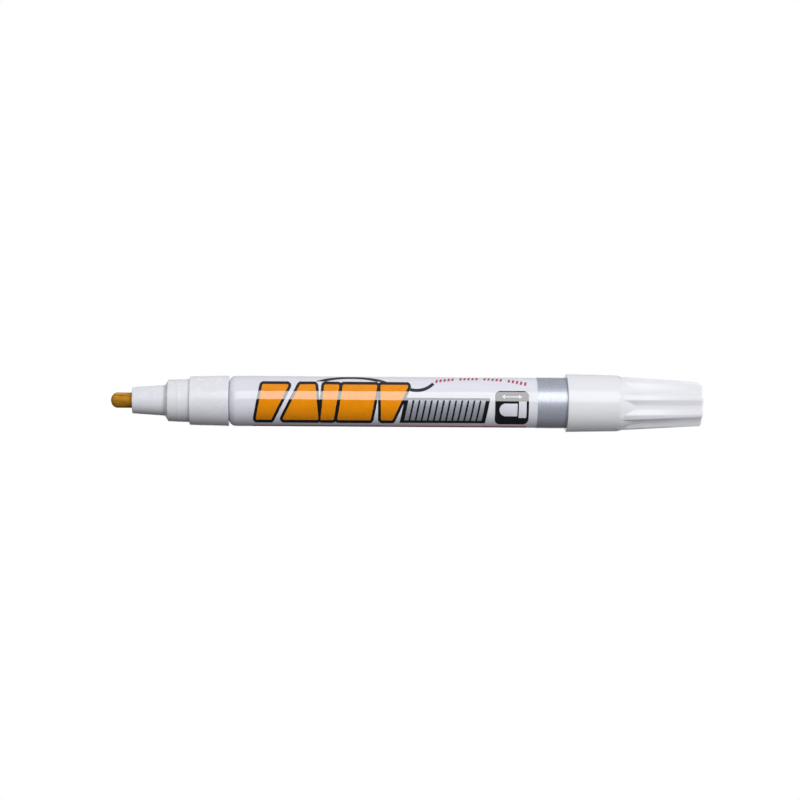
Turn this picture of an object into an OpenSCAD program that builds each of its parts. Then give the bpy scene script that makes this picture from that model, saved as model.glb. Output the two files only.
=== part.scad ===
// Oil-based paint marker, open for writing, with its cap pushed onto the closed end of the barrel.
// It stands on the flat end of the cap: z = 0 there, and +Z runs along the axis to the nib.
// The print faces -Y, and +X is the upper edge of the print.

/* [Barrel] */
// Outside diameter of the tube
barrel_d = 13.7; // [12.6:0.1:16]
// Length of the tube from its closed end to its mouth
barrel_len = 101.75; // [92:0.25:130]
// Wall thickness of the tube
barrel_wall = 0.4; // [0.3:0.05:0.6]
// Thickness of the closed end
barrel_floor = 0.5; // [0.4:0.05:1]
// Radius of the rounded shoulder at the mouth
shoulder_r = 1.4; // [1:0.1:2.2]
// Edge radius of the closed end
rear_edge_r = 0.7; // [0.3:0.05:1]

/* [Cap] */
// Length of the cap
cap_len = 36.8; // [35:0.1:40]
// How far the barrel goes into the cap
post_depth = 10.5; // [8:0.5:11]
// Radial clearance between the barrel and the cap
cap_clearance = 0.1; // [0.07:0.01:0.14]
// Wall thickness at the mouth
cap_wall = 0.98; // [0.8:0.01:1.3]
// Length of the plain collar at the mouth
cap_collar_len = 13.85; // [12:0.05:15]
// How much the collar's radius shrinks along its length
cap_collar_taper = 0.27; // [0:0.01:0.4]
// Radial step from the collar down to the ridges
cap_step = 0.33; // [0.2:0.01:0.5]
// Length over which that step is rounded
cap_step_len = 1.2; // [0.8:0.1:2]
// How much the ridges' radius shrinks along their length
ridge_taper = 1.2; // [0.6:0.05:1.4]
// Edge radius of the end face
cap_edge_r = 0.6; // [0.2:0.05:0.8]
// Edge radius of the mouth
cap_lip_r = 0.2; // [0.1:0.05:0.3]
// Thickness of the end wall
cap_end_wall = 1.5; // [1:0.1:2]
// Wall left between a groove's floor and the hollow
cap_groove_wall = 0.8; // [0.6:0.05:0.9]
// How far below the top of the ridges the socket for the nose ends
socket_end_drop = 1.9; // [1:0.1:2.5]
// Length of the cone from that socket down to the hollow
hollow_cone_len = 2.2; // [1.6:0.1:3]

/* [Grip ridges] */
// Number of ridges round the cap
ridge_count = 8; // [6:1:9]
// Depth of the grooves between the ridges
groove_depth = 0.9; // [0.5:0.05:1]
// Width of a groove's floor
groove_floor_w = 1.2; // [0.8:0.1:1.4]
// Width of a groove at the crests
groove_top_w = 4.05; // [2.8:0.05:4.1]
// Length of the slanted run-out at a groove's upper end
groove_runout = 3; // [2.4:0.1:6]
// Turn of the first ridge from the front
ridge_turn = 13; // [0:0.5:45]

/* [Inner cap] */
// Clearance between the inner cap and the hollow it is pushed into
inner_cap_gap = 0.05; // [0.02:0.01:0.1]
// Thickness of the inner cap's floor
inner_cap_floor = 1.2; // [0.8:0.1:1.5]
// Radius of the chamber that keeps the nib
nib_chamber_r = 3; // [2.8:0.1:3.2]
// Clearance round the nose when the cap is on the nib
nose_clearance = 0.1; // [0.05:0.01:0.2]

/* [Valve collar] */
// How far the collar's rear edge stands proud of the barrel
collar_proud = 0; // [0:0.01:0.06]
// Length of the collar
collar_len = 10.65; // [9:0.05:13]
// How much the collar's radius shrinks to its front
collar_draft = 0.25; // [0:0.01:0.4]
// Length of the tenon that carries the nose
tenon_len = 4.5; // [3.5:0.1:5]
// Diameter of the neck that goes into the barrel's mouth
neck_d = 8.4; // [8.2:0.1:9]
// Length of the neck behind the collar
neck_len = 10.15; // [9.5:0.05:13]
// Wall thickness of the neck
neck_wall = 1; // [0.8:0.05:1.1]
// Thickness of the gasket in the barrel's mouth
gasket_wall = 0.4; // [0.3:0.05:0.5]
// Thickness of the gasket's lip
gasket_lip_t = 0.8; // [0.5:0.1:1.2]
// Length of the gasket behind its lip
gasket_tail = 1.8; // [1:0.1:2.5]

/* [Nose] */
// Length of the nose, from the collar to its front
nose_len = 15.45; // [14.5:0.05:18]
// Radial step from the valve collar down to the nose's plain band
nose_step = 0.71; // [0.5:0.01:0.9]
// Length of that plain band
nose_band_len = 5.8; // [5:0.1:6]
// How much the band's radius shrinks to its front
nose_band_draft = 0.25; // [0:0.01:0.3]
// Wall thickness round the tenon
nose_band_wall = 0.89; // [0.7:0.01:1.2]
// Height of the snap bead on the band
bead_h = 0.12; // [0.08:0.01:0.18]
// Width of the snap bead
bead_w = 1; // [0.8:0.1:1.4]
// Distance of the bead from the collar
bead_at = 3; // [2.6:0.1:3.2]
// Wall thickness at the nose's front
nose_wall = 1.5; // [1.2:0.05:1.8]
// How much the cone's radius grows to its rear
nose_taper = 0.57; // [0.3:0.01:0.8]
// Fillet where the cone flares out
flare_r = 0.5; // [0.4:0.05:1]
// Slope of the flare from square
flare_angle = 30; // [15:1:40]
// Edge radius of the front
nose_edge_r = 0.3; // [0.1:0.05:0.4]
// Length of the close bore that guides the nib
nib_guide_len = 7; // [5:0.1:8]

/* [Nib] */
// Diameter of the nib
nib_d = 4.15; // [3.4:0.05:4.4]
// How far the nib stands out of the nose
nib_reach = 5.8; // [4.6:0.05:5.9]
// Length of the rounded tip
nib_tip_len = 1.8; // [1:0.1:2.2]
// Radial clearance of the nib in its guide
nib_clearance = 0.05; // [0.03:0.01:0.08]

/* [Valve] */
// How far the nib goes in when it is pumped
pump_travel = 2.5; // [1.5:0.1:3]
// Diameter of the hole in the valve seat
seat_hole_d = 3.4; // [3:0.1:3.8]
// Thickness of the valve seat
seat_t = 1.2; // [0.8:0.1:1.6]
// Depth of the seat's rear face inside the collar
seat_inset = 0.35; // [0.2:0.05:1]
// Diameter of the chamber in front of the seat
chamber_d = 5.2; // [4.8:0.1:5.6]
// Height of the nib's rear end above the seat
stem_reach = 4.8; // [4.2:0.1:6]
// Thickness of the stem's front disc
stem_disc_t = 1; // [0.6:0.1:1.1]
// Diameter of the stem's pin
stem_pin_d = 2.4; // [2:0.1:2.6]
// Diameter of the stem's head
stem_head_d = 4.6; // [4.4:0.1:5]
// Thickness of the stem's head
stem_head_t = 1; // [0.6:0.1:1.4]
// Diameter of the stem's tail
stem_tail_d = 1.8; // [1.4:0.1:2.2]
// Length of tail that stands out of the cage
stem_tail_out = 1.1; // [0.5:0.1:2]
// Thickness of the rubber washer on the head
washer_t = 0.8; // [0.5:0.1:1]
// Wall thickness of the cage
cage_wall = 0.7; // [0.5:0.05:0.8]
// Thickness of the cage's floor
cage_floor = 1; // [0.6:0.1:1.2]
// Width of the three arms in the cage's floor
cage_arm_w = 0.9; // [0.6:0.1:1.1]
// Radial clearance of the tail in the cage
tail_clearance = 0.08; // [0.04:0.01:0.1]
// Mean diameter of the spring
spring_d = 3.5; // [3.2:0.1:3.8]
// Wire diameter of the spring
spring_wire = 0.4; // [0.3:0.05:0.45]
// Number of turns
spring_turns = 7; // [5:1:8]
// Diameter of the steel mixing ball
ball_d = 5.5; // [4:0.5:7]

/* [Print] */
// Thickness of the ink
ink_t = 0.05; // [0.03:0.01:0.06]
// Distance of the bold blocks from the barrel's mouth
blocks_at = 7.25; // [4:0.05:10]
// Upper edge of the bold blocks, from the middle of the print
blocks_top = 4.6; // [3:0.1:5]
// Lower edge of the bold blocks
blocks_bottom = -5; // [-5.4:0.1:-3]
// Width of the dark outline round the bold blocks
outline_w = 0.76; // [0.2:0.02:0.8]
// Corner radius of the bold blocks
block_corner_r = 0.35; // [0.1:0.05:0.5]
// Distance of the dark panel from the barrel's mouth
panel_at = 46; // [45.8:0.1:48]
// Length of the dark panel
panel_len = 23; // [18:0.1:23.2]
// Upper edge of the dark panel
panel_top = 1.15; // [0:0.05:1.5]
// Lower edge of the dark panel
panel_bottom = -5.6; // [-5.8:0.1:-4]
// Forward lean of the panel and its bars, across for each mm up
print_lean = 0.19; // [0:0.01:0.3]
// Number of silver bars on the panel
bar_count = 13; // [6:1:16]
// Distance of the pumping sign from the barrel's mouth
sign_at = 71.6; // [70.9:0.1:73]
// Length of the pumping sign
sign_len = 9.1; // [8.8:0.05:9.8]
// Height of the pumping sign
sign_h = 9; // [8.6:0.1:9.2]
// Corner radius of the pumping sign
sign_corner_r = 1.4; // [0.5:0.1:2]
// Distance of the grey band from the barrel's mouth
band_at = 83.1; // [82.6:0.1:88]
// Bare length between the grey band and the closed end
band_margin = 8.5; // [3:0.5:9]
// Distance of the red dashes from the barrel's mouth
dashes_at = 55.5; // [52:0.1:56]
// Length of the row of red dashes
dashes_len = 25; // [18:0.1:25.5]
// Number of places in the row of red dashes
dash_count = 24; // [12:1:24]
// Width of the red rule below the print
rule_w = 1.1; // [0.4:0.1:1.6]

/* [Hidden] */
$fn = 96;

white = [0.93, 0.93, 0.95];
dark = [0.1, 0.1, 0.11];

// Steps of a rounded corner in a turned outline
arc_steps = 8;
// Sides of a full turn on the printed outlines' round corners
print_fn = 20;
// A cutter goes this far past the face that it cuts
over = 1;
// Smallest flat that a rounded edge leaves
min_flat = 0.1;

// Heights along the axis
barrel_z = cap_len - post_depth;
mouth_z = barrel_z + barrel_len;
collar_front_z = mouth_z + collar_len;
nose_front_z = collar_front_z + nose_len;
nib_tip_z = nose_front_z + nib_reach;
collar_end_z = cap_len - cap_collar_len;
ridge_top_z = collar_end_z - cap_step_len;
seat_z = mouth_z + seat_inset;
seat_front_z = seat_z + seat_t;
nib_rear_z = seat_front_z + stem_reach;
neck_end_z = mouth_z - neck_len;
head_rear_z = seat_z - washer_t - stem_head_t;
cage_floor_z = neck_end_z + cage_floor;

// Radii from the barrel outwards and forwards
barrel_r = barrel_d / 2;
cap_bore_r = barrel_r + cap_clearance;
cap_mouth_r = cap_bore_r + cap_wall;
cap_collar_end_r = cap_mouth_r - cap_collar_taper;
crest_top_r = cap_collar_end_r - cap_step;
crest_end_r = crest_top_r - ridge_taper;
collar_rear_r = barrel_r + collar_proud;
collar_front_r = collar_rear_r - collar_draft;
band_rear_r = collar_front_r - nose_step;
band_front_r = band_rear_r - nose_band_draft;
tenon_r = band_rear_r - nose_band_wall;
nib_r = nib_d / 2;
nose_front_r = nib_r + nose_wall;
nose_cone_r = nose_front_r + nose_taper;
neck_r = neck_d / 2;
neck_bore_r = neck_r - neck_wall;
mouth_r = neck_r + gasket_wall;
chamber_r = chamber_d / 2;
stem_pin_r = stem_pin_d / 2;
stem_head_r = stem_head_d / 2;
stem_tail_r = stem_tail_d / 2;

// The shoulder leaves a flat lip round the mouth, and the rear edge a flat that the cap's step holds.
shoulder = min(shoulder_r, barrel_r - mouth_r - min_flat);
socket_clearance = 0.06;
socket_r = band_rear_r + socket_clearance;
rear_edge = min(rear_edge_r, barrel_r - socket_r - min_flat);

// The hollow behind the ridges keeps one wall all along, because it tapers as the crests do.
crest_slope = ridge_taper / ridge_top_z;
function crest_r(z) = crest_end_r + crest_slope * z;
function hollow_r(z) = crest_r(z) - groove_depth - cap_groove_wall;

// Degrees round a circle of a radius for a length along it
function turn_of(length, radius) = length / radius * 180 / PI;

// Points of an arc about a centre, from one angle to another
function arc_points(centre, radius, from, to) =
    [for (i = [0:arc_steps])
        let (a = from + (to - from) * i / arc_steps)
        centre + radius * [cos(a), sin(a)]];

// Cap: outside

step_angle = 2 * atan(cap_step / cap_step_len);
step_r = cap_step_len / sin(step_angle);

module cap_outside() {
    rotate_extrude()
        polygon(concat(
            [[0, 0]],
            arc_points([crest_end_r - cap_edge_r, cap_edge_r], cap_edge_r, -90, 0),
            [[crest_top_r, ridge_top_z]],
            arc_points([cap_collar_end_r - step_r, collar_end_z], step_r, -step_angle, 0),
            arc_points([cap_mouth_r - cap_lip_r, cap_len - cap_lip_r], cap_lip_r, 0, 90),
            [[0, cap_len]]));
}

// Cap: hollow, stepped so that the barrel's end seats in it and the nose's band fits below

socket_end_z = ridge_top_z - socket_end_drop;
hollow_top_z = socket_end_z - hollow_cone_len;
bead_groove_w = bead_w + 0.3;
bead_groove_z = cap_len - collar_len - bead_at;
bead_r = (bead_w * bead_w / 4 + bead_h * bead_h) / (2 * bead_h);

module cap_hollow() {
    rotate_extrude()
        polygon([
            [0, cap_end_wall],
            [hollow_r(cap_end_wall), cap_end_wall],
            [hollow_r(hollow_top_z), hollow_top_z],
            [socket_r, socket_end_z],
            [socket_r, bead_groove_z - bead_groove_w / 2],
            [socket_r + bead_h, bead_groove_z - bead_groove_w / 4],
            [socket_r + bead_h, bead_groove_z + bead_groove_w / 4],
            [socket_r, bead_groove_z + bead_groove_w / 2],
            [socket_r, barrel_z],
            [cap_bore_r, barrel_z],
            [cap_bore_r, cap_len - cap_lip_r],
            [cap_bore_r + cap_lip_r, cap_len],
            [cap_bore_r + cap_lip_r, cap_len + over],
            [0, cap_len + over]]);
}

// Cap: one groove. Its section has sloping walls, and its floor runs parallel to the crests
// before a cone lifts it out to the rounded step below the collar.
module groove_section() {
    mean_r = crest_r(ridge_top_z / 2);
    half_w = groove_top_w / 2;
    wall_rise = groove_depth - (mean_r - sqrt(mean_r * mean_r - half_w * half_w));
    spread = (half_w - groove_floor_w / 2) / wall_rise;
    height = groove_depth + over;
    top_half_w = groove_floor_w / 2 + spread * height;
    polygon([
        [0, -groove_floor_w / 2],
        [height, -top_half_w],
        [height, top_half_w],
        [0, groove_floor_w / 2]]);
}

module groove() {
    full_z = ridge_top_z - groove_runout;
    floor_r = crest_end_r - groove_depth;
    top_z = ridge_top_z + 0.3 * cap_step_len;
    top_r = crest_top_r + 0.6 * cap_step;
    intersection() {
        multmatrix([
            [1, 0, crest_slope, floor_r],
            [0, 1, 0, 0],
            [0, 0, 1, 0],
            [0, 0, 0, 1]])
            translate([0, 0, -over])
                linear_extrude(height = top_z + 2 * over)
                    groove_section();
        rotate_extrude()
            polygon([
                [0, -over],
                [0, full_z],
                [floor_r + crest_slope * full_z, full_z],
                [top_r, top_z],
                [top_r + 2 * over, top_z],
                [top_r + 2 * over, -over]]);
    }
}

module cap() {
    color(white)
        difference() {
            cap_outside();
            cap_hollow();
            for (k = [0:ridge_count - 1])
                rotate([0, 0, -90 + ridge_turn + (k + 0.5) * 360 / ridge_count])
                    groove();
        }
}

// Inner cap: a soft liner that closes on the nose when the cap is on the nib

inner_floor_z = cap_end_wall + inner_cap_floor;
seal_z = cap_len - (nose_front_z - mouth_z);
inner_rim_z = hollow_top_z;

module inner_cap() {
    rim_bore_r = nose_cone_r + nose_clearance;
    seal_bore_r = nose_front_r + nose_clearance / 2;
    color([0.88, 0.88, 0.86])
        rotate_extrude()
            polygon([
                [0, cap_end_wall],
                [hollow_r(cap_end_wall) - inner_cap_gap, cap_end_wall],
                [hollow_r(inner_rim_z) - inner_cap_gap, inner_rim_z],
                [rim_bore_r + min_flat, inner_rim_z],
                [rim_bore_r, inner_rim_z - 1],
                [seal_bore_r, seal_z],
                [nib_chamber_r, seal_z - (seal_bore_r - nib_chamber_r)],
                [nib_chamber_r, inner_floor_z],
                [0, inner_floor_z]]);
}

// Barrel: one drawn tube, closed at the rear and turned in at the mouth

module barrel() {
    centre = [barrel_r - shoulder, mouth_z - shoulder];
    bore_r = barrel_r - barrel_wall;
    inner_edge = rear_edge / 2;
    floor_z = barrel_z + barrel_floor;
    color(white)
        rotate_extrude()
            polygon(concat(
                [[0, barrel_z]],
                arc_points([barrel_r - rear_edge, barrel_z + rear_edge], rear_edge, -90, 0),
                arc_points(centre, shoulder, 0, 90),
                [[mouth_r, mouth_z], [mouth_r, mouth_z - barrel_wall]],
                arc_points(centre, shoulder - barrel_wall, 90, 0),
                arc_points([bore_r - inner_edge, floor_z + inner_edge], inner_edge, 0, -90),
                [[0, floor_z]]));
}

// Gasket: a sleeve in the mouth, with a lip that holds behind the turned-in edge

module neck_gasket() {
    lip_gap = 0.1;
    lip_r = mouth_r + gasket_wall;
    lip_z = mouth_z - barrel_wall - lip_gap;
    color([0.8, 0.8, 0.78])
        rotate_extrude()
            polygon([
                [neck_r, mouth_z],
                [mouth_r, mouth_z],
                [mouth_r, lip_z],
                [lip_r, lip_z],
                [lip_r, lip_z - gasket_lip_t],
                [mouth_r, lip_z - gasket_lip_t - gasket_wall],
                [mouth_r, lip_z - gasket_lip_t - gasket_tail],
                [neck_r, lip_z - gasket_lip_t - gasket_tail]]);
}

// Valve collar: the tapered ring in front of the barrel, with a neck behind it, a tenon
// before it and the valve seat across its bore

module valve_collar() {
    edge = 0.15;
    color(white)
        rotate_extrude()
            polygon(concat(
                [[seat_hole_d / 2, seat_z],
                 [neck_bore_r, seat_z],
                 [neck_bore_r, neck_end_z],
                 [neck_r, neck_end_z],
                 [neck_r, mouth_z]],
                arc_points([collar_rear_r - edge, mouth_z + edge], edge, -90, 0),
                arc_points([collar_front_r - edge, collar_front_z - edge], edge, 0, 90),
                [[tenon_r, collar_front_z],
                 [tenon_r, collar_front_z + tenon_len],
                 [chamber_r, collar_front_z + tenon_len],
                 [chamber_r, seat_front_z],
                 [seat_hole_d / 2, seat_front_z]]));
}

// Nose: plain band with a snap bead, flare and cone in one moulding, bored for the nib

module nose_outline() {
    band_end_z = collar_front_z + nose_band_len;
    flare_end = [band_front_r, band_end_z];
    sweep = 90 - flare_angle;
    fillet_end = nose_cone_r + flare_r * (1 - cos(sweep));
    rise = (band_front_r - fillet_end) * tan(flare_angle);
    fillet_centre = [nose_cone_r + flare_r, band_end_z + rise + flare_r * sin(sweep)];
    polygon(concat(
        [[0, collar_front_z],
         [band_rear_r, collar_front_z],
         flare_end],
        arc_points(fillet_centre, flare_r, 180 + sweep, 180),
        arc_points([nose_front_r - nose_edge_r, nose_front_z - nose_edge_r], nose_edge_r, 0, 90),
        [[0, nose_front_z]]));
    bead_mid_r = band_rear_r - nose_band_draft * bead_at / nose_band_len;
    intersection() {
        translate([bead_mid_r + bead_h - bead_r, collar_front_z + bead_at])
            circle(r = bead_r);
        translate([0, collar_front_z])
            square([band_rear_r + bead_h, nose_band_len]);
    }
}

module nose() {
    guide_r = nib_r + nib_clearance;
    guide_z = nose_front_z - nib_guide_len;
    socket_z = collar_front_z + tenon_len;
    color(white)
        rotate_extrude()
            difference() {
                nose_outline();
                polygon([
                    [-over, collar_front_z - over],
                    [tenon_r, collar_front_z - over],
                    [tenon_r, socket_z],
                    [chamber_r, socket_z],
                    [chamber_r, guide_z - (chamber_r - guide_r)],
                    [guide_r, guide_z],
                    [guide_r, nose_front_z + over],
                    [-over, nose_front_z + over]]);
            }
}

// Nib: a rod of bonded fibre with a bullet tip

module nib() {
    tip_base_z = nib_tip_z - nib_tip_len;
    tip_steps = 14;
    rear_edge_c = 0.2;
    color([0.75, 0.52, 0.16])
        rotate_extrude()
            polygon(concat(
                [[0, nib_rear_z],
                 [nib_r - rear_edge_c, nib_rear_z],
                 [nib_r, nib_rear_z + rear_edge_c]],
                [for (i = [0:tip_steps])
                    let (a = 90 * i / tip_steps)
                    [nib_r * cos(a), tip_base_z + nib_tip_len * sin(a)]]));
}

// Valve stem: the nib pushes its front disc, and its head opens behind the seat

module valve_stem() {
    disc_r = nib_r - 0.1;
    color([0.85, 0.85, 0.85])
        rotate_extrude()
            polygon([
                [0, nib_rear_z],
                [disc_r, nib_rear_z],
                [disc_r, nib_rear_z - stem_disc_t],
                [stem_pin_r, nib_rear_z - stem_disc_t],
                [stem_pin_r, seat_z - washer_t],
                [stem_head_r, seat_z - washer_t],
                [stem_head_r, head_rear_z],
                [stem_tail_r, head_rear_z],
                [stem_tail_r, neck_end_z - stem_tail_out],
                [0, neck_end_z - stem_tail_out]]);
}

module valve_washer() {
    color([0.15, 0.15, 0.16])
        rotate_extrude()
            translate([stem_pin_r, seat_z - washer_t])
                square([stem_head_r - stem_pin_r, washer_t]);
}

// Cage: a cup pushed into the neck, open between the three arms of its floor

module valve_cage() {
    cup_r = neck_bore_r - cage_wall;
    hub_bore_r = stem_tail_r + tail_clearance;
    hub_r = hub_bore_r + 0.4;
    top_gap = 0.7;
    cage_top_z = head_rear_z - pump_travel - top_gap;
    color([0.82, 0.84, 0.86]) {
        translate([0, 0, neck_end_z])
            linear_extrude(height = cage_floor)
                difference() {
                    circle(r = neck_bore_r);
                    circle(r = hub_bore_r);
                    difference() {
                        circle(r = cup_r);
                        circle(r = hub_r);
                        for (a = [0:120:240])
                            rotate(a)
                                translate([0, -cage_arm_w / 2])
                                    square([neck_bore_r, cage_arm_w]);
                    }
                }
        translate([0, 0, cage_floor_z])
            linear_extrude(height = cage_top_z - cage_floor_z)
                difference() {
                    circle(r = neck_bore_r);
                    circle(r = cup_r);
                }
    }
}

// Spring: a round wire swept along a helix whose end turns lie closer together

module valve_spring() {
    sides = 8;
    rings_per_turn = 12;
    rings = spring_turns * rings_per_turn;
    wire_r = spring_wire / 2;
    end_gap = 0.02;
    low_z = cage_floor_z + wire_r + end_gap;
    rise = head_rear_z - wire_r - end_gap - low_z;
    // Share of the height reached at share t of the wire, slower over the first and last turn
    function eased(t) = t - sin(360 * t) / 360 * 40;
    function on_ring(i, j) =
        let (t = i / rings, turn = 360 * spring_turns * t, a = 360 * j / sides)
        let (r = spring_d / 2 + wire_r * cos(a))
        [r * cos(turn), r * sin(turn), low_z + rise * eased(t) + wire_r * sin(a)];
    points = [for (i = [0:rings]) for (j = [0:sides - 1]) on_ring(i, j)];
    start = [for (j = [0:sides - 1]) j];
    end = [for (j = [sides - 1:-1:0]) rings * sides + j];
    walls = [for (i = [0:rings - 1]) for (j = [0:sides - 1])
        let (a = i * sides + j, b = i * sides + (j + 1) % sides)
        [a, a + sides, b + sides, b]];
    color([0.7, 0.71, 0.73])
        polyhedron(points = points, faces = concat([start, end], walls), convexity = 10);
}

module mixing_ball() {
    rest_gap = 0.02;
    color([0.75, 0.76, 0.78])
        translate([0, 0, barrel_z + barrel_floor + ball_d / 2 + rest_gap])
            sphere(d = ball_d);
}

// Print: flat outlines, taken onto the barrel where it faces the angle theta below the front.
// In an outline, x runs up the print, and y is the height along the axis.

function print_z(from_mouth) = mouth_z - from_mouth;

module onto_barrel(theta = 0) {
    rotate([0, 0, -theta])
        rotate([90, 0, 0])
            linear_extrude(height = barrel_r + over)
                children();
}

module ink_layer() {
    intersection() {
        rotate_extrude()
            translate([barrel_r, barrel_z + band_margin])
                square([ink_t, barrel_len - band_margin - shoulder]);
        children();
    }
}

// Bold blocks: front and rear edge at the top, then at the bottom, from the first block's foot
block_edges = [
    [1.8, 9, 0, 4.2],
    [11.9, 16, 7.1, 16.9],
    [18.4, 22.5, 17.4, 21],
    [23.4, 32.7, 21.9, 30.9],
    [33.5, 41.15, 33.7, 36.8]];
blocks_len = 41.15 + outline_w;

module block_outlines() {
    for (edges = block_edges)
        offset(r = block_corner_r, $fn = print_fn)
            offset(delta = -block_corner_r)
                polygon([
                    [blocks_top, print_z(blocks_at + edges[0])],
                    [blocks_top, print_z(blocks_at + edges[1])],
                    [blocks_bottom, print_z(blocks_at + edges[3])],
                    [blocks_bottom, print_z(blocks_at + edges[2])]]);
}

// A leaning four-sided outline between two heights up the print
module leaning(from, length, bottom, top) {
    shift = print_lean * (top - bottom);
    polygon([
        [bottom, print_z(from)],
        [top, print_z(from + shift)],
        [top, print_z(from + shift + length)],
        [bottom, print_z(from + length)]]);
}

bar_margin = 1.1;
bar_inset = 0.65;
bar_gap = 0.5;
bar_pitch = (panel_len - 2 * bar_margin + bar_gap) / bar_count;

module bar_outlines() {
    for (i = [0:bar_count - 1])
        leaning(panel_at + bar_margin + print_lean * bar_inset + i * bar_pitch,
                bar_pitch - bar_gap, panel_bottom + bar_inset, panel_top - bar_inset);
}

sign_mid = -1.35;

module sign_outline() {
    translate([sign_mid - sign_h / 2, print_z(sign_at + sign_len)])
        offset(r = sign_corner_r, $fn = print_fn)
            offset(delta = -sign_corner_r)
                square([sign_h, sign_len]);
}

// The bare places in the sign: a double arrow, a rounded nib and the surface that it is pressed on
module sign_marks() {
    arrow_x = 1.6;
    arrow_half = 2.8;
    arrow_head = 0.9;
    arrow_head_half = 0.62;
    arrow_line_half = 0.17;
    nib_x = -1.95;
    nib_mark_r = 1.72;
    nib_mark_len = 3.15;
    nib_mark_at = 6.05;
    block_at = 6.4;
    block_w = 2.1;
    block_h = 4.5;
    translate([arrow_x, print_z(sign_at + sign_len / 2)]) {
        square([2 * arrow_line_half, 2 * arrow_half - arrow_head], center = true);
        for (side = [-1, 1])
            polygon([
                [0, side * arrow_half],
                [arrow_head_half, side * (arrow_half - arrow_head)],
                [-arrow_head_half, side * (arrow_half - arrow_head)]]);
    }
    translate([nib_x, print_z(sign_at + nib_mark_at)]) {
        translate([-nib_mark_r, 0])
            square([2 * nib_mark_r, nib_mark_len]);
        translate([0, nib_mark_len])
            circle(r = nib_mark_r);
    }
    translate([nib_x - block_h / 2 + 0.1, print_z(sign_at + block_at + block_w)])
        square([block_h, block_w]);
}

// An arc stroke's full ring, before it is cut to length
module stroke_ring(radius, width) {
    difference() {
        circle(r = radius + width / 2);
        circle(r = radius - width / 2);
    }
}

// Swoosh: a thin arch over the blocks and a thicker tail behind the last one. Both stop just
// short of the blocks' outline.
swoosh_theta = -56.8;
swoosh_mid = 32.9;
swoosh_half = 9.6;
swoosh_rise = 2.85;
swoosh_w = 1.3;
swoosh_gap = 0.03;
tail_theta = -38;
tail_len = 6.8;
tail_r = 5.6;
tail_mid = 2.5;
tail_lap = 1.2;
tail_x = 4.3;
tail_w = 0.95;

module swoosh_outline() {
    radius = (swoosh_half * swoosh_half + swoosh_rise * swoosh_rise) / (2 * swoosh_rise);
    intersection() {
        translate([swoosh_rise / 2 - radius, print_z(swoosh_mid)])
            stroke_ring(radius, swoosh_w);
        translate([-swoosh_rise / 2, print_z(swoosh_mid + swoosh_half)])
            square([swoosh_rise + 1, 2 * swoosh_half]);
    }
}

module tail_outline() {
    start = blocks_at + blocks_len - tail_lap;
    end_x = tail_x - sqrt(tail_r * tail_r - pow(tail_len - tail_mid, 2));
    intersection() {
        translate([tail_x, print_z(start + tail_mid)])
            stroke_ring(tail_r, tail_w);
        translate([tail_x - tail_r - 1, print_z(start + tail_len)])
            square([tail_r + 1, tail_len]);
    }
    translate([end_x, print_z(start + tail_len)])
        circle(r = tail_w / 2);
}

module print_swoosh() {
    color([0.2, 0.2, 0.24])
        ink_layer() {
            intersection() {
                onto_barrel(swoosh_theta)
                    swoosh_outline();
                translate([blocks_top + outline_w + swoosh_gap, -barrel_r - over, 0])
                    cube([barrel_r, barrel_r + over, mouth_z]);
            }
            difference() {
                onto_barrel(tail_theta)
                    tail_outline();
                onto_barrel()
                    offset(r = outline_w + swoosh_gap, $fn = print_fn)
                        block_outlines();
            }
        }
}

module print_orange() {
    color([0.94, 0.58, 0.02])
        ink_layer()
            onto_barrel()
                block_outlines();
}

module print_black() {
    color(dark)
        ink_layer()
            onto_barrel()
                difference() {
                    union() {
                        offset(r = outline_w, $fn = print_fn)
                            block_outlines();
                        leaning(panel_at, panel_len, panel_bottom, panel_top);
                        sign_outline();
                    }
                    block_outlines();
                    bar_outlines();
                    sign_marks();
                }
}

module print_silver() {
    color([0.62, 0.63, 0.66])
        ink_layer()
            onto_barrel()
                difference() {
                    bar_outlines();
                    offset(r = outline_w, $fn = print_fn)
                        block_outlines();
                }
}

// Red: a bowed row of short dashes in groups, and a rule along the lower edge of the print
dash_w = 0.6;
dash_h = 1.35;
dash_group = 6;
dash_apex = 8;
dash_bow = 8;
dash_apex_share = 0.42;
rule_theta = 73.5;
rule_from = 6.4;
rule_to = 80.4;

module print_red() {
    rule_angle = turn_of(rule_w, barrel_r);
    color([0.75, 0.1, 0.13])
        ink_layer() {
            for (i = [0:dash_count - 1])
                if (i % dash_group != dash_group - 1) {
                    share = i / (dash_count - 1);
                    up = dash_apex - dash_bow * pow(share - dash_apex_share, 2);
                    onto_barrel(-turn_of(up, barrel_r))
                        leaning(dashes_at + share * dashes_len, dash_w, -dash_h / 2, dash_h / 2);
                }
            rotate([0, 0, -90 - rule_theta - rule_angle / 2])
                rotate_extrude(angle = rule_angle)
                    translate([barrel_r - over, print_z(rule_to)])
                        square([2 * over, rule_to - rule_from]);
        }
}

module print_band() {
    band_low_z = barrel_z + band_margin;
    color([0.6, 0.61, 0.64])
        rotate_extrude()
            translate([barrel_r, band_low_z])
                square([ink_t, print_z(band_at) - band_low_z]);
}

cap();
inner_cap();
barrel();
neck_gasket();
valve_collar();
valve_cage();
nose();
nib();
valve_stem();
valve_washer();
valve_spring();
mixing_ball();
print_orange();
print_black();
print_swoosh();
print_silver();
print_red();
print_band();
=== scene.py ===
"""Looks of the oil-based paint marker: turned and ridged pieces, printed inks, finishes, studio.

The marker stands on its cap with its axis on Z, and its print faces -Y. Outlines and the sizes
beside them are written in millimetres, and everything else is in metres.
"""

from math import atan2, cos, degrees, hypot, pi, radians, sin, sqrt, tan

import bmesh
import bpy
from mathutils import Matrix, Vector


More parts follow.
